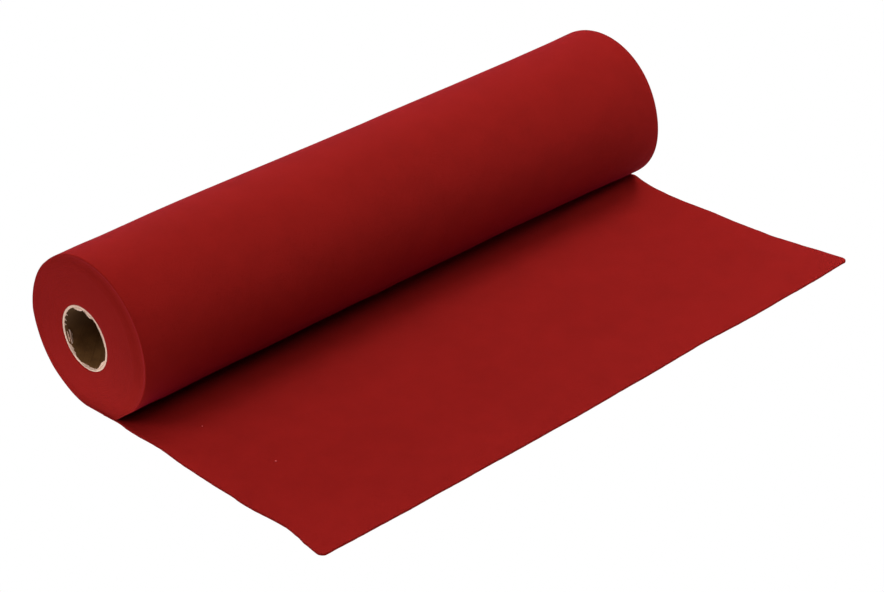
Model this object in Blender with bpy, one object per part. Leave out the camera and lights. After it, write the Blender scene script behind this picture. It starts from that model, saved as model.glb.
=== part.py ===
"""A roll of felt on a paper tube, with the end of the felt pulled off and laid flat in front.

The roll's axis runs along X. The origin is on the surface that the roll rests on, under the axis
and halfway along it. +Z is up and the loose end lies towards -Y. All sizes are in metres.

The felt comes off the top of the roll, down its front and under it: the outermost turn starts at
the loose end, passes under the roll, climbs the back, crosses the top and tucks in at the front.
"""

import math
from collections import namedtuple

import bmesh
import bpy

SHARP_ANGLE = math.radians(35)

# Felt as it is cut
FELT_WIDTH = 0.450
FELT_THICKNESS = 0.0015
PIECE_GAP = 0.0003

# Wound roll
ROLL_RADIUS = 0.05124  # mean radius of the outermost turn, and the height of its axis
NOTCH_Y = -0.008  # where the outermost turn becomes the loose end
TUCK_EASE = 0.00005  # what the turn that tucks in keeps over the loose end, besides the gap
FLAT_POINTS = 3  # columns of points across the flat spot
TURN_SEGMENTS = 72
LENGTH_SEGMENTS = 15
BORE_SEGMENTS = 3
WAVE_HEIGHT = 0.00025  # soft unevenness of the outermost turn
WAVE_LENGTH = 0.19
WAVE_TWIST = 2  # crests met on one way round the roll
EDGE_ROUNDING = 0.0006  # the outermost turn's edges
ROUND_SHARE = 0.80  # how far out from the bore, as a share, the turns on the end faces stay round

# The slack in the outermost turn, low on the front at the far end
SLACK_HEIGHT = 0.0045
SLACK_ANGLE = math.radians(302)  # from the underside, by way of the back and the top
SLACK_SPREAD = math.radians(36)
SLACK_LENGTH = 0.085

# Paper tube, which sits low and to the back of the winding's middle
CORE_RADIUS = 0.0206
CORE_WALL = 0.0016
CORE_BACK = 0.0040
CORE_DROP = 0.0033
CORE_LENGTH = 0.4488
CORE_SIDES = 64

# Loose end
LOOSE_REACH = 0.2105  # from under the axis to the cut edge
LOOSE_COLUMNS = 26
LOOSE_ROWS = 22
CORNER_RADIUS = 0.005
CORNER_STEPS = 4
LIFT_BAND = 0.10  # how far in from the far edge its lift fades out
CUT_WAVE = 0.0007  # how far the cut edge wanders
CUT_WAVE_LENGTH = 0.28
CUT_SLANT = 0.0028  # how much further the cut edge reaches at the far corner
CUT_SLANT_BAND = 0.13  # how far in from the far edge the slant starts

# The ridge that the slack leaves across the loose end's far side, just in front of the roll
RIDGE_HEIGHT = 0.0050
RIDGE_START = 0.021
RIDGE_TOP = 0.034
RIDGE_END = 0.078
RIDGE_LENGTH = 0.12

# The winding's end faces: share is 0 at the tube and 1 at the outermost turn, and proud is how far
# that place stands out from the felt's cut width at the near end and at the far end
FaceRow = namedtuple("FaceRow", "share near_proud far_proud")
END_FACE = (
    FaceRow(0.98, 0.0006, 0.0005),
    FaceRow(0.94, -0.0006, -0.0003),
    FaceRow(0.86, -0.0008, -0.0006),
    FaceRow(0.70, -0.0003, 0.0002),
    FaceRow(0.45, 0.0000, -0.0002),
    FaceRow(0.18, 0.0004, 0.0003),
)

# The loose end's long edges: reach is the distance from under the axis, flare is how far each edge
# stands out past the felt's cut width, and lift is how far the far edge is off the surface
EdgeRow = namedtuple("EdgeRow", "reach near_flare far_flare far_lift")
LOOSE_EDGES = (
    EdgeRow(0.000, -0.0012, 0.0000, 0.0000),
    EdgeRow(0.030, -0.0004, 0.0004, 0.0000),
    EdgeRow(0.057, 0.0009, 0.0002, 0.0000),
    EdgeRow(0.081, 0.0030, 0.0006, 0.0000),
    EdgeRow(0.112, 0.0053, 0.0009, 0.0000),
    EdgeRow(0.144, 0.0068, 0.0007, 0.0004),
    EdgeRow(0.173, 0.0061, 0.0012, 0.0017),
    EdgeRow(0.190, 0.0091, 0.0020, 0.0028),
    EdgeRow(0.211, 0.0126, 0.0038, 0.0036),
)

Material = namedtuple("Material", "name colour roughness")
FELT = Material("red_felt", (0.262, 0.010, 0.011), 0.95)
PAPER = Material("tube_paper", (0.600, 0.440, 0.300), 0.85)

HALF_WIDTH = FELT_WIDTH / 2
TURN_STEP = FELT_THICKNESS + PIECE_GAP  # how much one turn adds to the radius
TUCK_HEIGHT = TURN_STEP + TUCK_EASE  # underside of the turn that rests on the loose end
AXIS_HEIGHT = ROLL_RADIUS
CORE_Z = AXIS_HEIGHT - CORE_DROP
BORE_RADIUS = CORE_RADIUS + PIECE_GAP


def smooth_step(start, end, at):
    """0 before start and 1 after end, with a soft rise between them."""
    share = min(max((at - start) / (end - start), 0.0), 1.0)
    return share * share * (3 - 2 * share)


def read_table(rows, column, at):
    """A column's value at a place in a table's first column, softly joined from row to row."""
    for low, high in zip(rows, rows[1:]):
        if at <= high[0]:
            share = smooth_step(low[0], high[0], at)
            even = (at - low[0]) / (high[0] - low[0])
            blend = (share + even) / 2
            return getattr(low, column) * (1 - blend) + getattr(high, column) * blend
    return getattr(rows[-1], column)


def clear_scene():
    for thing in list(bpy.data.objects):
        bpy.data.objects.remove(thing)


def make_material(finish):
    material = bpy.data.materials.new(finish.name)
    material.use_nodes = True
    shader = material.node_tree.nodes["Principled BSDF"]
    shader.inputs["Base Color"].default_value = (*finish.colour, 1.0)
    shader.inputs["Roughness"].default_value = finish.roughness
    shader.inputs["Metallic"].default_value = 0.0
    material.diffuse_color = (*finish.colour, 1.0)
    return material


def add_object(name, bm, finish, place, parent):
    """Turns a bmesh into a named object at its place, shaded smooth except at its sharp edges."""
    mesh = bpy.data.meshes.new(name)
    bm.to_mesh(mesh)
    bm.free()
    mesh.shade_smooth()
    mesh.set_sharp_from_angle(angle=SHARP_ANGLE)
    mesh.materials.append(make_material(finish))
    piece = bpy.data.objects.new(name, mesh)
    bpy.context.scene.collection.objects.link(piece)
    piece.location = place
    piece.parent = parent
    return piece


def join_rings(rings):
    """A closed ring-shaped body: each ring of points is joined to the next, and the last to the first."""
    bm = bmesh.new()
    loops = [[bm.verts.new(point) for point in ring] for ring in rings]
    for loop, following in zip(loops, loops[1:] + loops[:1]):
        for here in range(len(loop)):
            after = (here + 1) % len(loop)
            bm.faces.new((loop[here], loop[after], following[after], following[here]))
    bmesh.ops.recalc_face_normals(bm, faces=bm.faces)
    return bm


def slack(x, turned):
    """How far the outermost turn stands off the winding at a place along it and an angle round it."""
    along = smooth_step(HALF_WIDTH - SLACK_LENGTH, HALF_WIDTH, x)
    off = (turned - SLACK_ANGLE) / SLACK_SPREAD
    return SLACK_HEIGHT * along * math.exp(-off * off)


def turn_radius(x, turned):
    """The outermost turn's outside, one step smaller by the time it has gone once round."""
    wave = WAVE_HEIGHT * math.sin(2 * math.pi * x / WAVE_LENGTH + WAVE_TWIST * turned)
    lost = TURN_STEP * (turned / (2 * math.pi) - 0.5)
    return ROLL_RADIUS - lost + wave + slack(x, turned)


def turn_outline(x):
    """The roll's outline across its axis, as (y, z) from the axis, from the loose end all the way round.

    It is flat where it rests: on the surface under the roll, and on the loose end where it tucks in.
    """
    widest = ROLL_RADIUS + TURN_STEP / 2
    narrowest = ROLL_RADIUS - TURN_STEP / 2
    first = math.acos(AXIS_HEIGHT / widest)
    last = 2 * math.pi + math.asin(NOTCH_Y / narrowest)
    flat_end = widest * math.sin(first)
    outline = []
    for step in range(FLAT_POINTS):
        y = NOTCH_Y + (flat_end - NOTCH_Y) * step / FLAT_POINTS
        outline.append((y, -AXIS_HEIGHT))
    for step in range(TURN_SEGMENTS + 1):
        turned = first + (last - first) * step / TURN_SEGMENTS
        radius = turn_radius(x, turned)
        floor = TUCK_HEIGHT if turned > math.pi else 0.0
        y = radius * math.sin(turned)
        z = max(-radius * math.cos(turned), floor - AXIS_HEIGHT)
        outline.append((y, z))
    outline[-1] = (NOTCH_Y, TUCK_HEIGHT - AXIS_HEIGHT)
    outline[FLAT_POINTS] = (flat_end, -AXIS_HEIGHT)
    return outline


def round_reach(away_y, away_z):
    """How far the round turns under the outermost one reach from the tube's middle, in a direction."""
    along = away_y * CORE_BACK - away_z * CORE_DROP
    offset = CORE_BACK**2 + CORE_DROP**2
    return -along + math.sqrt(along**2 - offset + (ROLL_RADIUS - TURN_STEP / 2) ** 2)


def winding_ring(x, share):
    """A ring of points at a place along the roll and a share of the way from the bore to the outside.

    Towards the outside it takes up the outermost turn's step, slack and flat spot.
    """
    ring = []
    outer = smooth_step(ROUND_SHARE, 1.0, share)
    for y, z in turn_outline(x):
        away_y, away_z = y - CORE_BACK, z + CORE_DROP
        reach = math.hypot(away_y, away_z)
        away_y, away_z = away_y / reach, away_z / reach
        outside = round_reach(away_y, away_z) * (1 - outer) + reach * outer
        radius = BORE_RADIUS + (outside - BORE_RADIUS) * share
        ring.append((x, CORE_BACK + away_y * radius, -CORE_DROP + away_z * radius))
    return ring


def end_face(column, side):
    """The rings of one end face, from the outermost turn in to the bore."""
    rings = []
    for row in END_FACE:
        ring = winding_ring(side * HALF_WIDTH, row.share)
        offset = side * getattr(row, column)
        rings.append([(x + offset, y, z) for x, y, z in ring])
    return rings


def make_winding(parent):
    """The wound felt: one body with a bore, and the step where its outermost turn is left off."""
    rings = []
    for step in range(LENGTH_SEGMENTS + 1):
        spread = math.sin(math.pi / 2 * (2 * step / LENGTH_SEGMENTS - 1))
        rings.append(winding_ring(spread * (HALF_WIDTH - EDGE_ROUNDING), 1.0))
    rings += end_face("far_proud", 1)
    for step in range(BORE_SEGMENTS + 1):
        rings.append(winding_ring(HALF_WIDTH * (1 - 2 * step / BORE_SEGMENTS), 0.0))
    rings += reversed(end_face("near_proud", -1))
    return add_object("felt_winding", join_rings(rings), FELT, (0, 0, AXIS_HEIGHT), parent)


def core_ring(x, radius):
    turns = (2 * math.pi * side / CORE_SIDES for side in range(CORE_SIDES))
    return [(x, radius * math.cos(turn), radius * math.sin(turn)) for turn in turns]


def make_core(parent):
    """The paper tube, open from end to end."""
    half = CORE_LENGTH / 2
    inside = CORE_RADIUS - CORE_WALL
    rings = [
        core_ring(-half, CORE_RADIUS),
        core_ring(half, CORE_RADIUS),
        core_ring(half, inside),
        core_ring(-half, inside),
    ]
    return add_object("paper_core", join_rings(rings), PAPER, (0, CORE_BACK, CORE_Z), parent)


def loose_lift(reach, far_in):
    """How far the loose end is off the surface, far_in being the distance in from its far edge."""
    edge = read_table(LOOSE_EDGES, "far_lift", reach) * (1 - smooth_step(0, LIFT_BAND, far_in))
    rise = smooth_step(RIDGE_START, RIDGE_TOP, reach) * (1 - smooth_step(RIDGE_TOP, RIDGE_END, reach))
    return edge + RIDGE_HEIGHT * rise * (1 - smooth_step(0, RIDGE_LENGTH, far_in))


def corner_inset(from_cut):
    """How far a long edge draws in near the cut edge, round the corner."""
    if from_cut >= CORNER_RADIUS:
        return 0.0
    across = CORNER_RADIUS - from_cut
    return CORNER_RADIUS - math.sqrt(CORNER_RADIUS**2 - across**2)


def cut_wander(x):
    """How much further than its even reach the cut edge lies, at a place along it."""
    slant = CUT_SLANT * smooth_step(HALF_WIDTH - CUT_SLANT_BAND, HALF_WIDTH, x)
    return slant + CUT_WAVE * math.cos(2 * math.pi * x / CUT_WAVE_LENGTH)


def loose_rows(start):
    """The distances of the loose end's rows of points from under the axis, closer together at the corners."""
    straight = LOOSE_REACH - CORNER_RADIUS
    rows = [start + (straight - start) * row / LOOSE_ROWS for row in range(LOOSE_ROWS)]
    for step in range(CORNER_STEPS + 1):
        turn = math.pi / 2 * step / CORNER_STEPS
        rows.append(straight + CORNER_RADIUS * math.sin(turn))
    return rows


def make_loose_end(parent):
    """The loose end: the grid of its underside, thickened upwards by the felt's thickness."""
    bm = bmesh.new()
    grid = []
    for reach in loose_rows(PIECE_GAP - NOTCH_Y):
        inset = corner_inset(LOOSE_REACH - reach)
        near_x = -HALF_WIDTH - read_table(LOOSE_EDGES, "near_flare", reach) + inset
        far_x = HALF_WIDTH + read_table(LOOSE_EDGES, "far_flare", reach) - inset
        line = []
        for column in range(LOOSE_COLUMNS + 1):
            spread = 0.5 + 0.5 * math.sin(math.pi / 2 * (2 * column / LOOSE_COLUMNS - 1))
            x = near_x + (far_x - near_x) * spread
            y = -reach - cut_wander(x) * (reach / LOOSE_REACH) ** 2
            line.append(bm.verts.new((x, y, loose_lift(reach, far_x - x))))
        grid.append(line)
    for line, following in zip(grid, grid[1:]):
        for here in range(LOOSE_COLUMNS):
            bm.faces.new((line[here], following[here], following[here + 1], line[here + 1]))
    piece = add_object("loose_end", bm, FELT, (0, 0, 0), parent)
    thicken = piece.modifiers.new("felt_thickness", "SOLIDIFY")
    thicken.thickness = FELT_THICKNESS
    thicken.offset = 1.0
    return piece


def main():
    clear_scene()
    roll = bpy.data.objects.new("roll_of_felt", None)
    bpy.context.scene.collection.objects.link(roll)
    make_winding(roll)
    make_core(roll)
    make_loose_end(roll)


main()
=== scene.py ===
"""Looks of a roll of felt: the wound felt, its loose end, the paper tube and the studio around them.

Everything is in metres in the frame of the CAD. The roll's axis runs along X, +Z is up and the
loose end lies towards -Y. An angle round the roll or the tube is measured from the underside, by
way of the back (+Y), the top and the front. The outermost turn starts under the roll, where the
loose end leaves it, and a place in the winding is counted in turns from there.
"""

import logging
import math
from dataclasses import dataclass
from enum import Enum

import bmesh
import bpy
import numpy as np
from mathutils import Matrix, Vector


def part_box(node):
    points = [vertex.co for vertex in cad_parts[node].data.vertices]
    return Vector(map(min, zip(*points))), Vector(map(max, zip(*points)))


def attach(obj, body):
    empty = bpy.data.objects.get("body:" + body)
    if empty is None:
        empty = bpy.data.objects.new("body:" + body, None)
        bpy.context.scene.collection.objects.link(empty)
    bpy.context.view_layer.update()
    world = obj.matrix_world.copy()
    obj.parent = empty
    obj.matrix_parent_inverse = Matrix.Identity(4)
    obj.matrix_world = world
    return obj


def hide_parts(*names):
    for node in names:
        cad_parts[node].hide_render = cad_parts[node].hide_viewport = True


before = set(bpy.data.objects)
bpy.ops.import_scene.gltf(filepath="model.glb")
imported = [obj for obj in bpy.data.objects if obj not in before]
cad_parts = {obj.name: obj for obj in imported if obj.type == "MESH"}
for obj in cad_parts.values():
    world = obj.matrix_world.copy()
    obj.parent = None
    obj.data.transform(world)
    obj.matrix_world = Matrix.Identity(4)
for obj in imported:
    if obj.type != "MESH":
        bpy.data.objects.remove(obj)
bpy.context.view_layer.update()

BODY = "root"
GRAIN = "grain"  # the UV map, in metres, that the felt's and the paper's fibres follow
BARE = "bare"  # the attribute that is 1 where felt or paper is cut or torn
MERGE_DISTANCE = 1e-6
FELT_SHARP = 50  # the angles between faces, in degrees, past which an edge looks sharp
TUBE_SHARP = 40
SCRAP_SHARP = 60

Array = np.ndarray
Colour = tuple[float, float, float]
WHITE = (1.0, 1.0, 1.0, 1.0)
BLACK = (0.0, 0.0, 0.0, 1.0)

log = logging.getLogger("roll_of_felt")


class Slot(Enum):
    """The record's material slots."""

    FELT = "felt"
    TUBE = "tube"


class End(Enum):
    """The roll's two ends, by the way along the roll that each one's face looks."""

    NEAR = -1
    FAR = 1


def smooth_step(start: float, end: float, at: Array) -> Array:
    """0 before start and 1 after end, and between them 3 shares squared less 2 shares cubed.

    Args:
        start: Where the rise starts.
        end: Where it ends.
        at: The places asked for.

    Returns:
        The height of the rise at each place.
    """
    share = np.clip((np.asarray(at) - start) / (end - start), 0.0, 1.0)
    return share * share * (3 - 2 * share)


def blend(low: Array, high: Array, share: Array) -> Array:
    """The point or value that lies a share of the way from low to high."""
    return low + (high - low) * share


def bell(off: Array) -> Array:
    """1 at nothing, falling off both ways as e to the power of minus the square."""
    return np.exp(-off * off)


def unit(vectors: Array) -> Array:
    """The vectors' directions, each one long."""
    return vectors / np.linalg.norm(vectors, axis=-1, keepdims=True)


def even_shares(steps: int) -> Array:
    """Even steps from 0 to 1."""
    return np.linspace(0.0, 1.0, steps + 1)


def millimetres(*lengths: float) -> tuple[float, ...]:
    """Lengths in metres, from millimetres."""
    return tuple(length / 1000 for length in lengths)


def tenths(*lengths: float) -> tuple[float, ...]:
    """Lengths in metres, from tenths of a millimetre."""
    return tuple(length / 10000 for length in lengths)


@dataclass(frozen=True)
class Ripple:
    """An even mean of sine waves, each of its own wavelength and phase, which looks uneven."""

    wavelengths: tuple[float, ...]  # in the units of the line that they run along
    phases: tuple[float, ...]  # in radians

    def at(self, where: Array) -> Array:
        """The height at each place along the line, from -1 to 1."""
        waves = zip(self.wavelengths, self.phases)
        return sum(np.sin(math.tau * where / length + phase) for length, phase in waves) / len(self.phases)


@dataclass(frozen=True)
class Profile:
    """A measure that changes along a line, given by a few places and its value at each."""

    places: tuple[float, ...]
    values: tuple[float, ...]

    def at(self, where: Array) -> Array:
        """The value at each place: from row to row, the mean of a straight line and an S curve.

        Args:
            where: The places asked for.

        Returns:
            The values there, held level past both ends.
        """
        places, values = np.array(self.places), np.array(self.values)
        row = np.clip(np.searchsorted(places, where, side="right") - 1, 0, len(places) - 2)
        even = np.clip((where - places[row]) / (places[row + 1] - places[row]), 0.0, 1.0)
        return blend(values[row], values[row + 1], (even + smooth_step(0.0, 1.0, even)) / 2)


class Patchwork:
    """The grids of points that make up one piece, joined into one skin where their edges meet."""

    def __init__(self) -> None:
        """Starts with no grids."""
        self.points: list[Array] = []
        self.faces: list[Array] = []
        self.grain: list[Array] = []
        self.bare: list[Array] = []
        self.count = 0

    def add(self, points: Array, grain: Array, bare: Array | float = 0.0) -> None:
        """Adds a grid, whose faces join each point to the next in its row and its column.

        Args:
            points: The places, by row and column.
            grain: Where each point is on the felt or paper before it was wound, in metres.
            bare: How far each point is on a cut or torn face, from 0 to 1.
        """
        rows, columns = points.shape[:2]
        number = np.arange(rows * columns).reshape(rows, columns) + self.count
        corners = (number[:-1, :-1], number[1:, :-1], number[1:, 1:], number[:-1, 1:])
        self.points.append(points.reshape(-1, 3))
        self.faces.append(np.stack(corners, axis=-1).reshape(-1, 4))
        self.grain.append(np.broadcast_to(grain, (rows, columns, 2)).reshape(-1, 2))
        self.bare.append(np.broadcast_to(bare, (rows, columns)).reshape(-1))
        self.count += rows * columns

    def build(self, name: str, material: bpy.types.Material, sharp: float) -> bpy.types.Object:
        """Makes the piece, merges the points that lie on each other and turns its faces outwards.

        Args:
            name: The piece's name.
            material: Its material.
            sharp: The angle between faces, in degrees, past which an edge is sharp.

        Returns:
            The piece, at the origin.
        """
        points, faces = np.concatenate(self.points), np.concatenate(self.faces)
        mesh = bpy.data.meshes.new(name)
        mesh.vertices.add(len(points))
        mesh.loops.add(faces.size)
        mesh.polygons.add(len(faces))
        mesh.vertices.foreach_set("co", points.astype(np.float32).ravel())
        mesh.loops.foreach_set("vertex_index", faces.ravel().astype(np.int32))
        mesh.polygons.foreach_set("loop_start", np.arange(0, faces.size, 4, dtype=np.int32))
        grain = np.concatenate(self.grain)[faces.ravel()]
        mesh.uv_layers.new(name=GRAIN).uv.foreach_set("vector", grain.astype(np.float32).ravel())
        bare = mesh.attributes.new(BARE, "FLOAT", "POINT")
        bare.data.foreach_set("value", np.concatenate(self.bare).astype(np.float32))
        mesh.update()
        self.join(mesh)
        mesh.shade_smooth()
        mesh.set_sharp_from_angle(angle=math.radians(sharp))
        mesh.materials.append(material)
        piece = bpy.data.objects.new(name, mesh)
        bpy.context.scene.collection.objects.link(piece)
        return piece

    @staticmethod
    def join(mesh: bpy.types.Mesh) -> None:
        """Merges a mesh's doubled points and turns its faces outwards."""
        work = bmesh.new()
        work.from_mesh(mesh)
        bmesh.ops.remove_doubles(work, verts=work.verts, dist=MERGE_DISTANCE)
        bmesh.ops.recalc_face_normals(work, faces=work.faces)
        work.to_mesh(mesh)
        work.free()


class NodeBench:
    """Adds nodes to a tree and joins them, so that a finish reads as a list of steps."""

    def __init__(self, tree: bpy.types.NodeTree) -> None:
        """Works on one tree."""
        self.tree = tree

    def add(self, kind: str, inputs: dict[int | str, object], **settings: object) -> bpy.types.Node:
        """Adds a node.

        Args:
            kind: The node's type.
            inputs: Its inputs by name or number, each a value or the socket that it is linked to.
            settings: Its own settings, such as operation.

        Returns:
            The node.
        """
        node = self.tree.nodes.new(kind)
        for name, value in settings.items():
            setattr(node, name, value)
        for name, value in inputs.items():
            if isinstance(value, bpy.types.NodeSocket):
                self.link(value, node, name)
            else:
                node.inputs[name].default_value = value
        return node

    def link(self, socket: bpy.types.NodeSocket, node: bpy.types.Node, name: int | str) -> None:
        """Links a socket to a node's input, by its name or number."""
        self.tree.links.new(socket, node.inputs[name])

    def math(self, operation: str, *values: object) -> bpy.types.NodeSocket:
        """The result of a Math node on values or sockets."""
        return self.add("ShaderNodeMath", dict(enumerate(values)), operation=operation).outputs[0]

    def vector(self, operation: str, inputs: dict[int | str, object]) -> bpy.types.NodeSocket:
        """The result of a Vector Math node."""
        return self.add("ShaderNodeVectorMath", inputs, operation=operation).outputs[0]

    def rise(self, value: object, low: float, high: float) -> bpy.types.NodeSocket:
        """0 where the value is below low and 1 where it is above high, with a soft rise between.

        Args:
            value: The value or its socket.
            low: Where the rise starts.
            high: Where it ends.

        Returns:
            The rise's socket.
        """
        inputs = {"Value": value, "From Min": low, "From Max": high}
        node = self.add("ShaderNodeMapRange", inputs, interpolation_type="SMOOTHSTEP")
        return node.outputs["Result"]

    def mix(self, share: object, low: object, high: object) -> bpy.types.NodeSocket:
        """The colour a share of the way from low to high, each a socket or a colour.

        Args:
            share: The share or its socket.
            low: What a share of 0 gives.
            high: What a share of 1 gives.

        Returns:
            The colour's socket.
        """
        low, high = ((*end, 1.0) if isinstance(end, tuple) else end for end in (low, high))
        inputs = {"Factor": share, 6: low, 7: high}
        return self.add("ShaderNodeMix", inputs, data_type="RGBA").outputs[2]

    def noise(self, place: object, size: object, detail: float = 2.0) -> bpy.types.NodeSocket:
        """Soft noise from 0 to 1, whose lumps have a size in metres.

        Args:
            place: The socket with the coordinates.
            size: The size of a lump, in metres, or its socket.
            detail: How many finer layers it has.

        Returns:
            The noise's socket.
        """
        scale = self.math("DIVIDE", 1.0, size)
        inputs = {"Vector": place, "Scale": scale, "Detail": detail}
        return self.add("ShaderNodeTexNoise", inputs).outputs["Fac"]


class SurfaceEffects:
    """The shader node groups that more than one finish uses."""

    STRAND_TURNS = (0.25, 1.35, 2.45)  # radians that each layer of fibres is turned
    STRAND_BEND = 0.35  # how far a fibre wanders, as a share of its length
    STRAND_EDGE = (0.34, 0.5)  # between which heights of the ridged noise a fibre rises
    CLOUD_EDGE = (0.3, 0.7)  # between which heights of the noise a cloud rises
    FINE_SHARE = 0.25  # how much of a cloud is finer noise
    FINER = 3.0  # how much finer that is

    def __init__(self) -> None:
        """Builds each group once."""
        self.fibres = self.build_fibres()
        self.mottle = self.build_mottle()

    @staticmethod
    def start(name: str, sizes: tuple[str, ...], result: str) -> tuple[NodeBench, dict, object]:
        """Starts a group that takes a place and some sizes in metres and gives one value.

        Args:
            name: The group's name.
            sizes: The names of its size inputs.
            result: The name of its output.

        Returns:
            The bench for its nodes, its inputs by name, and its output node.
        """
        tree = bpy.data.node_groups.new(name, "ShaderNodeTree")
        tree.interface.new_socket("Place", in_out="INPUT", socket_type="NodeSocketVector")
        for size in sizes:
            tree.interface.new_socket(size, in_out="INPUT", socket_type="NodeSocketFloat")
        tree.interface.new_socket(result, in_out="OUTPUT", socket_type="NodeSocketFloat")
        entry = tree.nodes.new("NodeGroupInput")
        exit_node = tree.nodes.new("NodeGroupOutput")
        return NodeBench(tree), {s.name: s for s in entry.outputs if s.name}, exit_node

    def build_fibres(self) -> bpy.types.NodeTree:
        """Fibres that lie in three directions: the highest of three stretched, ridged noises."""
        bench, given, exit_node = self.start("fibre_web", ("Length", "Width"), "Strands")
        along = bench.math("DIVIDE", 1.0, given["Length"])
        across = bench.math("DIVIDE", 1.0, given["Width"])
        inputs = {"Vector": given["Place"], "Scale": along, "Detail": 1.0}
        bend = bench.add("ShaderNodeTexNoise", inputs).outputs["Color"]
        centred = bench.vector("SUBTRACT", {0: bend, 1: (0.5, 0.5, 0.5)})
        reach = bench.math("MULTIPLY", given["Length"], self.STRAND_BEND)
        wander = bench.vector("SCALE", {0: centred, "Scale": reach})
        place = bench.vector("ADD", {0: given["Place"], 1: wander})
        stretch = bench.add("ShaderNodeCombineXYZ", {"X": along, "Y": across, "Z": along}).outputs[0]
        strands = None
        for turn in self.STRAND_TURNS:
            inputs = {"Vector": place, "Angle": turn}
            turned = bench.add("ShaderNodeVectorRotate", inputs, rotation_type="Z_AXIS").outputs[0]
            long_way = bench.vector("MULTIPLY", {0: turned, 1: stretch})
            inputs = {"Vector": long_way, "Scale": 1.0, "Detail": 1.0}
            lumps = bench.add("ShaderNodeTexNoise", inputs).outputs["Fac"]
            off = bench.math("ABSOLUTE", bench.math("SUBTRACT", lumps, 0.5))
            ridge = bench.rise(bench.math("SUBTRACT", 0.5, off), *self.STRAND_EDGE)
            strands = ridge if strands is None else bench.math("MAXIMUM", strands, ridge)
        bench.link(strands, exit_node, "Strands")
        return bench.tree

    def build_mottle(self) -> bpy.types.NodeTree:
        """Cloudy patches: noise of one size, softened by a quarter of a noise three times finer."""
        bench, given, exit_node = self.start("soft_mottle", ("Size",), "Cloud")
        coarse = bench.noise(given["Place"], given["Size"])
        fine = bench.noise(given["Place"], bench.math("DIVIDE", given["Size"], self.FINER))
        lumps = bench.math("MULTIPLY", coarse, 1 - self.FINE_SHARE)
        cloud = bench.math("ADD", lumps, bench.math("MULTIPLY", fine, self.FINE_SHARE))
        bench.link(bench.rise(cloud, *self.CLOUD_EDGE), exit_node, "Cloud")
        return bench.tree


def place_effect(bench: NodeBench, group: bpy.types.NodeTree, place: object, **sizes: float) -> object:
    """Places a shared effect in a material.

    Args:
        bench: The material's bench.
        group: The effect's group.
        place: The socket with the coordinates that it reads.
        sizes: Its sizes in metres, by the names of its inputs.

    Returns:
        The effect's output.
    """
    return bench.add("ShaderNodeGroup", {"Place": place, **sizes}, node_tree=group).outputs[0]


def start_material(
    name: str, roughness: float, **inputs: object
) -> tuple[bpy.types.Material, NodeBench, bpy.types.Node]:
    """Starts a material with one plain shader.

    Args:
        name: Its name.
        roughness: Its roughness where no pattern changes it.
        inputs: The shader's other inputs, by their names with underscores in place of spaces.

    Returns:
        The material, the bench for its nodes, and its shader.
    """
    material = bpy.data.materials.new(name)
    material.use_nodes = True
    shader = material.node_tree.nodes["Principled BSDF"]
    for label, value in {"Roughness": roughness, "Metallic": 0.0, **inputs}.items():
        shader.inputs[label.replace("_", " ")].default_value = value
    return material, NodeBench(material.node_tree), shader


def read_surface(bench: NodeBench) -> tuple[object, object, object]:
    """The sockets with the grain, with the place on the object, and with how bare it is."""
    grain = bench.add("ShaderNodeUVMap", {}, uv_map=GRAIN).outputs[0]
    place = bench.add("ShaderNodeTexCoord", {}).outputs["Object"]
    bare = bench.add("ShaderNodeAttribute", {}, attribute_name=BARE).outputs["Fac"]
    return grain, place, bare


def weigh(bench: NodeBench, marks: tuple[object, ...], shares: tuple[float, ...]) -> object:
    """Adds up some marks, each times its share.

    Args:
        bench: The material's bench.
        marks: The marks' sockets.
        shares: Each one's share.

    Returns:
        The socket with the sum.
    """
    total = bench.math("MULTIPLY", marks[0], shares[0])
    for mark, share in zip(marks[1:], shares[1:]):
        total = bench.math("MULTIPLY_ADD", mark, share, total)
    return total


def raise_surface(
    bench: NodeBench, shader: bpy.types.Node, marks: object, height: float, strength: float
) -> None:
    """Gives a material its bump.

    Args:
        bench: The material's bench.
        shader: Its shader.
        marks: The socket with the height of its marks, from 0 to 1.
        height: The height of 1, in metres.
        strength: How strongly it shows.
    """
    bump = bench.add("ShaderNodeBump", {"Height": marks, "Distance": height, "Strength": strength})
    bench.link(bump.outputs["Normal"], shader, "Normal")


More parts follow.
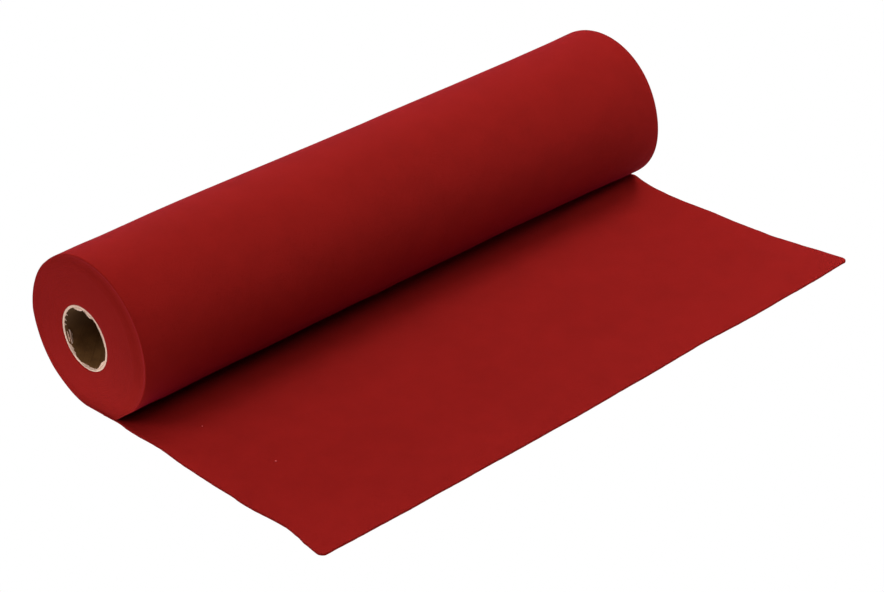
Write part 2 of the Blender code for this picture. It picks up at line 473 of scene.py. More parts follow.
@dataclass(frozen=True)
class FeltFinish:
    """Pressed felt: a matt red mat of short fibres, a little cloudy, with a soft fuzz."""

    name: str = "red_felt"
    deep: Colour = (0.220, 0.0069, 0.0050)
    clear: Colour = (0.312, 0.0103, 0.0078)
    cut: Colour = (0.304, 0.0106, 0.0070)
    roughness: float = 0.98  # between the fibres
    fibre_rough: float = -0.08  # what is added to that on a fibre
    specular: float = 0.05
    sheen: float = 0.19
    sheen_roughness: float = 0.32
    sheen_tint: Colour = (1.0, 0.015, 0.20)
    fibre: tuple[float, float] = (0.0045, 0.00035)  # length and width
    clump: tuple[float, float] = (0.011, 0.0014)
    clouds: tuple[float, float] = (0.016, 0.075)  # the sizes of clouds and of patches
    tone_shares: tuple[float, ...] = (0.22, 0.18, 0.22, 0.38)  # of cloud, patch, clumps and fibres
    cut_share: float = 0.2  # how far the cut's colour comes in between the fibres
    cut_fibre_share: float = 0.4  # what is added to that on a fibre
    pile_shares: tuple[float, float] = (0.5, 0.5)  # of fibres and clumps
    pile_height: float = 0.00016
    pile_strength: float = 0.8

    def material(self, effects: SurfaceEffects) -> bpy.types.Material:
        """Builds the material.

        Args:
            effects: The shared node groups.

        Returns:
            The material.
        """
        material, bench, shader = start_material(
            self.name, self.roughness, Specular_IOR_Level=self.specular, Sheen_Weight=self.sheen,
            Sheen_Roughness=self.sheen_roughness, Sheen_Tint=(*self.sheen_tint, 1.0),
        )
        grain, place, bare = read_surface(bench)
        fibres, clumps = (
            place_effect(bench, effects.fibres, grain, Length=length, Width=width)
            for length, width in (self.fibre, self.clump)
        )
        cloud, patch = (place_effect(bench, effects.mottle, place, Size=size) for size in self.clouds)
        tone = weigh(bench, (cloud, patch, clumps, fibres), self.tone_shares)
        dyed = bench.mix(tone, self.deep, self.clear)
        pale = bench.math("MULTIPLY_ADD", fibres, self.cut_fibre_share, self.cut_share)
        colour = bench.mix(bench.math("MULTIPLY", bare, pale), dyed, self.cut)
        bench.link(colour, shader, "Base Color")
        rough = bench.math("MULTIPLY_ADD", fibres, self.fibre_rough, self.roughness)
        bench.link(rough, shader, "Roughness")
        pile = weigh(bench, (fibres, clumps), self.pile_shares)
        raise_surface(bench, shader, pile, self.pile_height, self.pile_strength)
        return material


@dataclass(frozen=True)
class LintFinish:
    """Loose fibre, a paler red than the felt that it lies on."""

    name: str = "pale_fibre"
    shade: Colour = (0.85, 0.11, 0.12)
    light: Colour = (0.98, 0.20, 0.22)
    roughness: float = 0.9
    cloud_size: float = 0.0002

    def material(self, effects: SurfaceEffects) -> bpy.types.Material:
        """Builds the material.

        Args:
            effects: The shared node groups.

        Returns:
            The material.
        """
        material, bench, shader = start_material(self.name, self.roughness)
        place = bench.add("ShaderNodeTexCoord", {}).outputs["Object"]
        cloud = place_effect(bench, effects.mottle, place, Size=self.cloud_size)
        colour = bench.mix(cloud, self.shade, self.light)
        bench.link(colour, shader, "Base Color")
        return material


@dataclass(frozen=True)
class PaperFinish:
    """Spiral-wound paper: a brown liner, darkened higher up by painted shade, and pale fibrous stock where
    it is cut or torn.
    """

    name: str = "tube_paper"
    liner: Colour = (0.300, 0.138, 0.042)
    liner_dark: Colour = (0.190, 0.086, 0.027)
    # Painted shade: higher up, the liner is darkened towards this colour, for the shade on the bore's upper
    # wall
    painted_shade: Colour = (0.088, 0.040, 0.014)
    # the heights between which the painted shade comes in
    painted_shade_heights: tuple[float, float] = (0.030, 0.053)
    stock: Colour = (0.960, 0.680, 0.540)
    stock_dark: Colour = (0.740, 0.510, 0.390)
    roughness: float = 0.75
    cloud_rough: float = 0.1  # what is added to that in a cloud
    torn_rough: float = 0.12  # and where it is torn
    specular: float = 0.25
    fibre: tuple[float, float] = (0.0035, 0.00030)  # length and width
    clouds: tuple[float, float] = (0.0040, 0.0011)  # the sizes of clouds and of flecks
    painted_shade_share: float = 0.92  # how dark the painted shade is at its deepest
    liner_shares: tuple[float, float] = (0.4, 0.6)  # of fibres and cloud in the liner's tone
    stock_shares: tuple[float, float] = (0.5, 0.6)  # of fibres and flecks in the stock's tone
    torn_edge: tuple[float, float] = (0.45, 0.75)  # between which values of bareness the stock shows
    torn_flecks: float = 0.3  # how much the flecks add to the bareness
    relief_shares: tuple[float, float] = (0.6, 0.4)  # of fibres and flecks in the relief
    fibre_height: float = 0.00008
    fibre_strength: float = 0.7

    def material(self, effects: SurfaceEffects) -> bpy.types.Material:
        """Builds the material.

        Args:
            effects: The shared node groups.

        Returns:
            The material.
        """
        material, bench, shader = start_material(
            self.name, self.roughness, Specular_IOR_Level=self.specular
        )
        grain, place, bare = read_surface(bench)
        length, width = self.fibre
        fibres = place_effect(bench, effects.fibres, grain, Length=length, Width=width)
        cloud, flecks = (place_effect(bench, effects.mottle, place, Size=size) for size in self.clouds)
        tone = weigh(bench, (fibres, cloud), self.liner_shares)
        brown = bench.mix(tone, self.liner_dark, self.liner)
        # Painted shade: the liner darkens with height, for the shade that falls on the bore's upper wall.
        height = bench.add("ShaderNodeSeparateXYZ", {"Vector": place}).outputs["Z"]
        painted_shade_amount = bench.math("MULTIPLY", bench.rise(height, *self.painted_shade_heights), self.painted_shade_share)
        brown = bench.mix(painted_shade_amount, brown, self.painted_shade)
        tone = weigh(bench, (fibres, flecks), self.stock_shares)
        pale = bench.mix(tone, self.stock_dark, self.stock)
        torn = bench.rise(bench.math("MULTIPLY_ADD", flecks, self.torn_flecks, bare), *self.torn_edge)
        bench.link(bench.mix(torn, brown, pale), shader, "Base Color")
        rough = bench.math("MULTIPLY_ADD", cloud, self.cloud_rough, self.roughness)
        rough = bench.math("MULTIPLY_ADD", torn, self.torn_rough, rough)
        bench.link(rough, shader, "Roughness")
        relief = weigh(bench, (fibres, flecks), self.relief_shares)
        raise_surface(bench, shader, relief, self.fibre_height, self.fibre_strength)
        return material


@dataclass(frozen=True)
class FeltStock:
    """The felt as it is cut, and the way it leaves the roll."""

    width: float = 0.450
    thickness: float = 0.0015
    notch_y: float = -0.008  # where the outermost turn becomes the loose end
    edge: float = 0.0006  # how far its cut edges are rounded

    @property
    def half(self) -> float:
        """Half the felt's width."""
        return self.width / 2


@dataclass(frozen=True)
class RollForm:
    """The outside of the winding: a spiral of one step a turn, flat where it rests, with some slack.

    The sizes are those of the CAD solid, because that file can't be read here.
    """

    felt: FeltStock = FeltStock()
    radius: float = 0.05124  # mean radius of the outermost turn, and the height of its axis
    turn_step: float = 0.0018
    tuck_height: float = 0.00185  # underside of the outermost turn over the loose end
    wave_height: float = 0.00025
    wave_length: float = 0.19
    wave_twist: float = 2.0
    slack_height: float = 0.0045
    slack_angle: float = math.radians(302)
    slack_spread: float = math.radians(36)
    slack_length: float = 0.085
    # How far the felt bulges out at the near end, by degrees round the roll
    foot: Profile = Profile(
        (8, 16, 24, 32, 40, 48, 56, 64, 72, 80, 88, 96, 104, 112, 120, 128, 136, 144, 152, 160, 240,
         256, 270, 284, 300, 314, 322, 327, 332, 337, 343, 350),
        tenths(0, 2, 2, 0, 2, 5, 5, 6, 7, 11, 16, 13, 10, 7, 5, 2, -3, -4, -2, 1, 0, 2, 6, 11, 12, 11,
               9, 10, 15, 28, 26, 0),
    )
    foot_length: float = 0.022
    # How far the upper back swells past an even roll, by distance along it
    swell: Profile = Profile(
        millimetres(-225, -210, -190, -171, -151, -132, -112, -93, -54, -34, -15, 5, 25, 44, 64, 83,
                    103, 122, 142, 161, 181, 200, 225),
        tenths(0, 1, 0, 2, 4, 4, 3, 2, 2, 2, 1, 0, -2, -2, -4, -5, -5, -4, -2, -1, 1, 2, 6),
    )
    swell_at: tuple[float, float] = (math.radians(155), math.radians(60))  # its angle and spread
    # How far the outer turns sag over the crease in front, by distance along it
    sag: Profile = Profile(
        millimetres(-225, -210, -195, -175, -156, -136, -116, -96, -76, -57, -37, -17, 3, 42, 62, 82,
                    102, 122, 141, 161, 181, 201, 225),
        tenths(0, 4, 10, 7, 3, 1, 3, 3, 1, 3, 4, 9, 6, 6, 5, 3, 3, 8, 15, 13, 6, 0, -3),
    )
    sag_at: tuple[float, float] = (math.radians(320), math.radians(22))
    toe: float = 0.0012  # how far they bulge where they come down onto the loose end
    toe_at: tuple[float, float] = (math.radians(338), math.radians(12))
    rounding: float = 2.5  # turns in which the outline's flats and bulges fade inwards
    passes: int = 6  # how often the underside's reach is found anew

    @property
    def start(self) -> float:
        """The angle at which the outermost turn starts, just in front of the axis."""
        return math.asin(self.felt.notch_y / (self.radius + self.turn_step / 2))

    @property
    def end(self) -> float:
        """The angle at which it has gone once round."""
        return math.tau + math.asin(self.felt.notch_y / (self.radius - self.turn_step / 2))

    def slack(self, x: Array, angle: Array) -> Array:
        """How far the outermost turn stands off: a bell round the front, rising to the far end."""
        along = smooth_step(self.felt.half - self.slack_length, self.felt.half, x)
        return self.slack_height * along * bell((angle - self.slack_angle) / self.slack_spread)

    def bulge(self, x: Array, angle: Array) -> Array:
        """How far the felt stands out: the foot's table by angle, and bells for swell, sag and toe.

        The foot fades away from the near end, and the toe takes its place there.

        Args:
            x: Places along the roll.
            angle: Angles round it.

        Returns:
            The height there, which is less than nothing in a dip.
        """
        inner = smooth_step(-self.felt.half, self.foot_length - self.felt.half, x)
        bells = (
            (self.swell.at(x), self.swell_at), (self.sag.at(x), self.sag_at), (self.toe * inner, self.toe_at)
        )
        stand = (1 - inner) * self.foot.at(np.degrees(angle))
        return stand + sum(high * bell((angle - at) / spread) for high, (at, spread) in bells)

    def reach(self, x: Array, angle: Array, slack_share: float = 1.0) -> Array:
        """The distance from the axis: the radius less a step a turn, plus a wave, bulge and slack.

        Args:
            x: Places along the roll.
            angle: Angles round it.
            slack_share: 1 for the outermost turn, and 0 for the turn under it.

        Returns:
            The distance there.
        """
        wave = self.wave_height * np.sin(math.tau * x / self.wave_length + self.wave_twist * angle)
        spiral = self.radius - self.turn_step * (angle / math.tau - 0.5)
        return spiral + wave + self.bulge(x, angle) + slack_share * self.slack(x, angle)

    def underside(self, x: Array, y: Array) -> Array:
        """The height of the roll's front over the surface: its circle, with the reach found anew.

        Args:
            x: Places along the roll.
            y: Places across it, in front of the axis.

        Returns:
            The height there, or a metre where nothing of the roll is overhead.
        """
        height = self.radius - np.sqrt(np.maximum(self.radius**2 - y * y, 0.0))
        for _ in range(self.passes):
            angle = math.tau + np.arctan2(y, self.radius - height)
            reach = self.reach(x, angle)
            height = self.radius - np.sqrt(np.maximum(reach**2 - y * y, 0.0))
        return np.where(np.abs(y) < reach, height, 1.0)

    def outline(self, x: Array, angle: Array, slack_share: float = 1.0) -> Array:
        """Points on the outside, at the reach of each angle from the axis.

        Where that would go under the surface, or into the loose end in front, it is held level.

        Args:
            x: Places along the roll, one for each column.
            angle: Angles round it from start to end, one for each row.
            slack_share: 1 for the outermost turn, and 0 for the turn under it.

        Returns:
            The points, by row and column.
        """
        x, angle = np.meshgrid(x, angle)
        reach = self.reach(x, angle, slack_share)
        floor = np.where(angle > math.pi, self.tuck_height, 0.0)
        y = reach * np.sin(angle)
        z = np.maximum(self.radius - reach * np.cos(angle), floor)
        y[0], y[-1] = self.felt.notch_y, self.felt.notch_y
        z[0], z[-1] = 0.0, self.tuck_height
        return np.stack([x, y, z], axis=-1)


@dataclass(frozen=True)
class TubeForm:
    """Where the tube is and how large, and how it is pressed out of round towards its near end."""

    middle_y: float
    middle_z: float
    radius: float
    half: float
    shift_y: float = 0.0004
    shift_z: float = -0.0003
    oval: float = 0.0005
    oval_angle: float = math.radians(142)
    spread: float = 0.020  # how far out into the felt the squeeze goes

    def place(self, x: Array, radius: Array, angle: Array) -> Array:
        """Points of the tube, or of the felt round it, squeezed.

        The squeeze is one even shift, and a swell outwards by the cosine of twice the angle. Both
        fade evenly to nothing at the far end, and by a smooth step out through the felt.

        Args:
            x: Places along the roll.
            radius: Distances from the tube's middle.
            angle: Angles round it.

        Returns:
            The points.
        """
        x, radius, angle = np.broadcast_arrays(x, radius, angle)
        kept = 1 - smooth_step(0.0, self.spread, radius - self.radius)
        kept = kept * np.clip(0.5 - x / (2 * self.half), 0.0, 1.0)
        swell = self.oval * np.cos(2 * (angle - self.oval_angle)) * np.minimum(radius / self.radius, 1.0)
        reach = radius + kept * swell
        y = self.middle_y + kept * self.shift_y + reach * np.sin(angle)
        z = self.middle_z + kept * self.shift_z - reach * np.cos(angle)
        return np.stack([x, y, z], axis=-1)


@dataclass
class WoundFelt:
    """The winding: an outside, two end faces on which the felt's turns show, and a bore."""

    form: RollForm
    tube: TubeForm
    play: float = 0.00008  # between the tube and the felt
    turns: int = 21
    stations: int = 240  # rows of points round the roll
    columns: int = 92  # columns of points along it
    edge_steps: int = 4
    bore_steps: int = 6
    step_fade: float = 2.0  # turns in which the extra width of the outermost step fades inwards
    groove: float = 0.00005  # how deep the line between two turns is
    unevenness: float = 0.000025  # how far the turns' edges stand in and out at random
    near_waves: Ripple = Ripple((2.63, 1.27, 0.41, 0.173), (-0.6, 2.1, -4.0, 1.3))  # by turns
    far_waves: Ripple = Ripple((2.63, 1.27, 0.41, 0.173), (1.4, 2.1, 4.0, 1.3))
    uneven_from: tuple[float, float] = (0.9, 1.3)  # the turns over which the unevenness comes in
    across: tuple[float, ...] = (0.0, 0.16, 0.50, 0.84, 1.0)  # points across one turn's thickness
    round_power: int = 6  # how square a turn's edge is
    lip_end: tuple[float, float] = (0.97, 1.0)  # the turns over which the rounded rim ends
    whole: float = 0.0010  # the thickness under which a turn's edge shows less
    pocket_steps: int = 12
    pocket_gap: float = 0.0012  # how wide the gap behind the slack is where it is as deep as it gets
    pocket_power: float = 1.5  # how fast it narrows
    # How far the end faces stand out from the cut width, by the count of turns from outside
    near_proud: Profile = Profile(
        (0.0, 0.16, 0.5, 0.84, 1.2, 2.0, 3.0, 4.0, 5.0, 6.0, 11.0, 17.0, 20.0, 21.0),
        tenths(-4, -1, 2, 2, -4, -10, -10, -6, -2, 0, 2, 2, 1, -1),
    )
    far_proud: Profile = Profile(
        (0.0, 0.93, 1.06, 1.9, 2.9, 6.3, 11.5, 17.0, 21.0),
        tenths(5, 5, -2, -3, -6, 2, -2, 3, 3),
    )
    flush_angle: float = math.radians(70)  # where round the roll the outer turns' edges are flush
    flush_proud: Profile = Profile((0.0, 1.0, 3.0, 5.0, 9.0), tenths(-1, 1, 3, 3, 1))
    flush_turns: tuple[float, float] = (4.0, 9.0)  # the turns over which that fades inwards

    def angles(self) -> Array:
        """The angle of each row of points round the roll."""
        return np.linspace(self.form.start, self.form.end, self.stations + 1)

    @property
    def bore_radius(self) -> float:
        """The distance of the innermost felt from the middle of the bore."""
        return self.tube.radius + self.play

    def polar(self, points: Array) -> tuple[Array, Array]:
        """The distance and the angle of points from the middle of the bore."""
        y, z = points[..., 1] - self.tube.middle_y, points[..., 2] - self.tube.middle_z
        return np.hypot(y, z), np.unwrap(np.arctan2(y, -z), axis=0)

    def spiral(self, end: End) -> tuple[Array, Array, Array]:
        """The line between each turn and the next, on one end face.

        The outermost turn follows the outline. Further in, the distance from the bore shrinks
        evenly to nothing, and what the outermost step takes more than its share fades out.

        Args:
            end: The end.

        Returns:
            The distance from the bore's middle and the angle at each station of one turn more
            than there are, and how far the outermost turn stands off at each of its stations.
        """
        count = self.stations
        cut = np.array([end.value * self.form.felt.half])
        tight, loose = (self.form.outline(cut, self.angles(), share)[:, 0] for share in (0.0, 1.0))
        reach, heading = self.polar(tight)
        stand = np.maximum(self.polar(loose)[0] - reach, 0.0)
        station = np.arange(count * (self.turns + 1) + 1)
        turn, share = station / count, (station % count) / count
        step = reach[0] - reach[-1]
        grown = (reach[:-1] + step * np.arange(count) / count)[station % count] - self.bore_radius
        extra = (step - grown / self.turns) * np.minimum(turn, 1.0)
        extra = extra * np.exp(-np.maximum(turn - 1, 0) / self.step_fade)
        even = grown.mean() + (0.5 - share) * step
        kept = np.exp(-np.maximum(turn - 1, 0) / self.form.rounding)
        distance = self.bore_radius - extra
        distance += blend(even, grown, kept) * np.maximum(1 - turn / self.turns, 0.0)
        distance = np.where(turn >= self.turns, self.bore_radius, distance)
        skew = heading[-1] - math.tau - heading[0]
        angle = heading[:-1][station % count] + np.where(turn >= 1, skew * (1 - share), 0.0)
        return distance, angle, stand

    def edge_height(self, end: End, turn: Array, deep: Array) -> Array:
        """How far an end face stands out from the cut width: its profile and each turn's unevenness.

        The outer turns are nearly flush with each other at one angle. Away from it, their own profile
        comes in by the sine of half the angle between, squared.

        Args:
            end: The end.
            turn: How far along the spiral a place is, which sets its angle.
            deep: How many turns it is in from the outside.

        Returns:
            The height there.
        """
        near, far = (self.near_proud, self.near_waves), (self.far_proud, self.far_waves)
        proud, waves = near if end is End.NEAR else far
        angle = math.tau * turn + self.form.start
        kept = np.sin((angle - self.flush_angle) / 2) ** 2
        kept = blend(kept, 1.0, smooth_step(*self.flush_turns, deep))
        random = self.unevenness * waves.at(turn) * smooth_step(*self.uneven_from, turn)
        return blend(self.flush_proud.at(deep), proud.at(deep), kept) + random

    def end_face(self, end: End) -> tuple[Array, Array]:
        """One end face as a strip that follows the spiral inwards, rounded across each turn.

        Across a turn, the height falls off as a power of the distance from its middle.
        The last turn thins out to nothing against the tube.

        Args:
            end: The end.

        Returns:
            The points, by station and place across the turn, and the grain there.
        """
        count = self.stations
        distance, angle, stand = self.spiral(end)
        station = np.arange(count * self.turns + 1)
        turn = (station / count)[:, None]
        across = np.array(self.across)[None, :]
        lip = 1 - smooth_step(*self.lip_end, turn)
        off = np.zeros(len(station))
        off[: count + 1] = stand
        outer = distance[station] + off
        inner = distance[station + count] + off
        felt = self.form.felt
        reach = blend((outer - felt.edge * lip[:, 0])[:, None], inner[:, None], across)
        heading = blend(angle[station][:, None], angle[station + count][:, None], across)
        deep = np.minimum(turn + across, self.turns)
        height = self.edge_height(end, turn, deep)
        before = self.edge_height(end, np.maximum(turn - 1, 0.0), deep)
        after = self.edge_height(end, turn + 1, deep)
        low = blend(np.minimum(height, before), np.minimum(height, after), across) - self.groove
        drop = np.abs(2 * across - 1) ** self.round_power * np.where(across < 0.5, 1 - lip, 1.0)
        whole = np.clip((outer - inner) / self.whole, 0.0, 1.0)[:, None]
        x = end.value * (felt.half + blend(low, height, (1 - drop) * whole))
        grain = np.stack([reach, (heading + math.tau * turn) * distance[station][:, None]], axis=-1)
        return self.tube.place(x, reach, heading), grain

    def skin(self, near: Array, far: Array) -> tuple[Array, Array, Array]:
        """The outside, with its long edges rounded over on quarter circles to the end faces.

        Args:
            near: The near end face.
            far: The far end face.

        Returns:
            The points by row and column, the grain, and how bare each point is.
        """
        felt = self.form.felt
        straight = np.linspace(-(felt.half - felt.edge), felt.half - felt.edge, self.columns + 1)
        middle = self.form.outline(straight, self.angles())
        bend = np.arange(1, self.edge_steps + 1) * (math.pi / 2 / self.edge_steps)
        over = np.stack([np.sin(bend), 1 - np.cos(bend), 1 - np.cos(bend)], axis=-1)[None]
        rows = self.stations + 1
        near_edge = blend(middle[:, :1], near[:rows, :1], over)[:, ::-1]
        far_edge = blend(middle[:, -1:], far[:rows, :1], over)
        points = np.concatenate([near_edge, middle, far_edge], axis=1)
        along = np.linalg.norm(np.diff(middle[:, self.columns // 2], axis=0), axis=-1)
        wound = -felt.notch_y - np.concatenate([[0.0], np.cumsum(along)])
        grain = np.stack([points[..., 0], np.broadcast_to(wound[:, None], points.shape[:2])], axis=-1)
        bare = np.zeros(points.shape[1])
        bare[: self.edge_steps] = np.sin(bend)[::-1]
        bare[-self.edge_steps:] = np.sin(bend)
        return points, grain, bare

    def pocket(self, far: Array) -> list[tuple[Array, Array]]:
        """The gap behind the slack at the far end, which narrows to nothing as it goes in.

        It goes in by a smooth step of its width, and what is left of the way in, to a power, is the
        share of its width that is left there.

        Args:
            far: The far end face.

        Returns:
            The gap's outer wall and inner wall, each with its grain.
        """
        outer = far[: self.stations + 1, -1]
        inner = far[self.stations: 2 * self.stations + 1, 0]
        gap = np.linalg.norm(outer - inner, axis=-1)
        rows = np.flatnonzero(gap > MERGE_DISTANCE)
        if not len(rows):
            return []
        rows = np.arange(max(rows[0] - 1, 0), min(rows[-1] + 2, len(gap)))
        deep = even_shares(self.pocket_steps)[None, :, None]
        depth = self.form.slack_length * smooth_step(0.0, self.pocket_gap, gap[rows])[:, None, None]
        inward = np.concatenate([-depth * deep, np.zeros((len(rows), deep.shape[1], 2))], axis=-1)
        floor = inner[rows][:, None] + inward
        roof = floor + (outer - inner)[rows][:, None] * (1 - deep) ** self.pocket_power
        return [(wall, wall[..., :2]) for wall in (floor, roof)]

    def notch(self, skin: Array, near: Array, far: Array) -> Array:
        """The cut through the outermost turn where the loose end leaves it, as a flat wall.

        Args:
            skin: The outside.
            near: The near end face.
            far: The far end face.

        Returns:
            The wall's points.
        """
        wall = blend(skin[None, 0], skin[None, -1], np.array(self.across)[:, None, None])
        wall[:, 0], wall[:, -1] = near[0], far[0]
        return wall

    def build(self, finish: bpy.types.Material) -> bpy.types.Object:
        """Makes and dresses the winding, whose bore runs straight from one end face to the other.

        Args:
            finish: The felt's material.

        Returns:
            The piece.
        """
        near, near_grain = self.end_face(End.NEAR)
        far, far_grain = self.end_face(End.FAR)
        skin, skin_grain, skin_bare = self.skin(near, far)
        work = Patchwork()
        work.add(skin, skin_grain, skin_bare)
        work.add(near, near_grain, 1.0)
        work.add(far, far_grain, 1.0)
        for wall, grain in self.pocket(far):
            work.add(wall, grain)
        work.add(self.notch(skin, near, far), np.zeros(2))
        last = self.stations * (self.turns - 1)
        deep = even_shares(self.bore_steps)[None, :, None]
        bore = blend(near[last:, None, -1], far[last:, None, -1], deep)
        work.add(bore, bore[..., :2])
        piece = work.build("wound_felt", finish, FELT_SHARP)
        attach(piece, BODY)
        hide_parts("felt_winding")
        return piece


@dataclass
class LooseFelt:
    """The end of the felt that lies in front of the roll: a sheet with softened cut edges."""

    roll: RollForm
    reach: float = 0.2105  # from under the axis to the cut edge
    rows: int = 64
    columns: int = 150
    corner_radius: float = 0.005
    corner_steps: int = 14
    lift_band: float = 0.10
    # The height of the ridge where the sheet comes off the roll at the far edge, by reach
    ridge: Profile = Profile(
        millimetres(12, 20, 25, 30.3, 32.5, 34, 36, 38, 42, 46, 50, 55, 60, 65, 78),
        tenths(0, 8, 26, 50, 53, 53, 51, 45, 36, 29, 22, 16, 11, 6, 0),
    )
    ridge_length: float = 0.12
    parting: float = 0.0003  # least gap between the sheet and the roll over it
    snip: float = 0.00012  # how far the scissors wandered along the cut edges
    near_snips: Ripple = Ripple((0.031, 0.0133, 0.0071), (0.3, 1.9, 4.4))
    far_snips: Ripple = Ripple((0.027, 0.0141, 0.0063), (2.3, 0.9, 5.4))
    cut_snips: Ripple = Ripple((0.037, 0.0153, 0.0083), (1.1, 3.0, 0.2))
    rim_power: float = 2.5
    # How far the cut edge reaches past its mean, by distance along the roll
    cut_line: Profile = Profile(
        millimetres(-238, -225, -206, -186, -167, -148, -128, -109, -90, -51, -32, -12, 7, 27, 46, 65,
                    85, 104, 123, 143, 162, 181, 201, 225),
        tenths(-7, -6, 0, 3, 8, 6, 11, 9, 14, 15, 16, 14, 9, 9, 5, 0, -6, -1, 4, 8, 12, 23, 30, 26),
    )
    # How far each long edge stands out past the cut width, and the far edge's lift, by reach
    near_flare: Profile = Profile(
        millimetres(0, 21.5, 31.2, 40.8, 50.5, 60, 70, 79, 89, 99, 108, 118, 128, 137, 147, 157, 166,
                    176, 186, 195, 205, 211),
        tenths(3, -4, 9, 14, 11, 12, 22, 33, 41, 48, 53, 58, 60, 70, 72, 68, 63, 63, 81, 103, 118, 128),
    )
    far_flare: Profile = Profile(
        millimetres(0, 30, 40, 50, 61, 71, 81.5, 92, 102, 112, 122.6, 133, 143, 153.5, 164, 174, 184,
                    195, 211),
        tenths(0, 9, -1, -3, 3, 7, 12, 16, 18, 14, 11, 10, 13, 8, 15, 21, 25, 32, 43),
    )
    far_lift: Profile = Profile(millimetres(112, 144, 173, 190, 211), tenths(0, 4, 17, 28, 36))

    def lines(self) -> Array:
        """The reach of each row of points, closer together round the corners."""
        straight = self.reach - self.corner_radius
        even = np.linspace(-self.felt.notch_y, straight, self.rows, endpoint=False)
        turn = np.linspace(0.0, math.pi / 2, self.corner_steps + 1)
        return np.concatenate([even, straight + self.corner_radius * np.sin(turn)])

    @property
    def felt(self) -> FeltStock:
        """The felt that it is cut from."""
        return self.roll.felt

    def lift(self, x: Array, y: Array, reach: Array, far_in: Array) -> Array:
        """How far the sheet is off the surface: its far edge's lift and the ridge by the roll.

        Both fade by a smooth step away from the far edge, and where the roll is lower, it holds
        them down.

        Args:
            x: The place along the roll.
            y: The place across it.
            reach: The distance from under the axis.
            far_in: The distance in from the far edge.

        Returns:
            The height of the underside.
        """
        edge = self.far_lift.at(reach) * (1 - smooth_step(0, self.lift_band, far_in))
        height = edge + self.ridge.at(reach) * (1 - smooth_step(0, self.ridge_length, far_in))
        room = self.roll.underside(x, y) - self.felt.thickness - self.parting
        return np.clip(height, 0.0, np.maximum(room, 0.0))

    def rim(self, inset: Array) -> Array:
        """The share of the thickness left near a cut edge: a squarish quarter circle, then all."""
        near = np.clip(inset / self.felt.edge, 0.0, 1.0)
        return (1 - (1 - near) ** self.rim_power) ** (1 / self.rim_power)

    def grid(self) -> tuple[Array, Array, Array, Array]:
        """The sheet seen from above, with its columns spread by a sine between the two long edges.

        The long edges stand out by their profiles, and curve in by a quarter circle at the corners.
        The cut edge's profile grows with the square of the reach.

        Returns:
            x, y and the underside's height, by row and column, and the share of the thickness.
        """
        reach = self.lines()[:, None]
        from_cut = np.clip(self.corner_radius - (self.reach - reach), 0.0, self.corner_radius)
        inset = self.corner_radius - np.sqrt(self.corner_radius**2 - from_cut**2)
        near = -self.felt.half - self.near_flare.at(reach) + self.snip * self.near_snips.at(reach) + inset
        far = self.felt.half + self.far_flare.at(reach) + self.snip * self.far_snips.at(reach) - inset
        column = np.linspace(-1.0, 1.0, self.columns + 1)[None, :]
        x = blend(near, far, 0.5 + 0.5 * np.sin(math.pi / 2 * column))
        wander = self.cut_line.at(x) + self.snip * self.cut_snips.at(x)
        y = -reach - wander * (reach / self.reach) ** 2
        y[0] = self.felt.notch_y
        edge = np.minimum(x - near, far - x)
        share = self.rim(edge) * self.rim(np.broadcast_to(self.reach - reach, x.shape))
        return x, y, self.lift(x, y, reach, far - x), share

    def build(self, finish: bpy.types.Material) -> bpy.types.Object:
        """Args:
            finish: The felt's material.

        Returns:
            The piece.
        """
        x, y, under, share = self.grid()
        middle = under + self.felt.thickness / 2
        top = np.stack([x, y, middle + self.felt.thickness / 2 * share], axis=-1)
        bottom = np.stack([x, y, middle - self.felt.thickness / 2 * share], axis=-1)
        grain = np.stack([x, np.broadcast_to(self.lines()[:, None], x.shape)], axis=-1)
        bare = 1 - share
        work = Patchwork()
        work.add(top, grain, bare)
        work.add(bottom, grain, bare)
        work.add(np.stack([top[0], bottom[0]]), grain[:1], bare[:1])
        piece = work.build("loose_felt", finish, FELT_SHARP)
        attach(piece, BODY)
        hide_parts("loose_end")
        length = self.reach + self.felt.notch_y
        self.felt.width
        return piece


@dataclass(frozen=True)
class TornStrip:
    """A strip of the tube's paper torn loose at its near mouth.

    Each measure is given at even steps along the strip, which runs the way that its angles go.
    """

    angles: tuple[float, ...]  # degrees round the tube
    depths: tuple[float, ...]  # how far in from the mouth its middle line is
    stands: tuple[float, ...]  # how far its middle line stands off the wall
    halves: tuple[float, ...]  # half its width
    lean: float  # degrees from lying along the wall to standing across it
    bare: float = 1.0  # how pale it is
    thickness: float = 0.0004


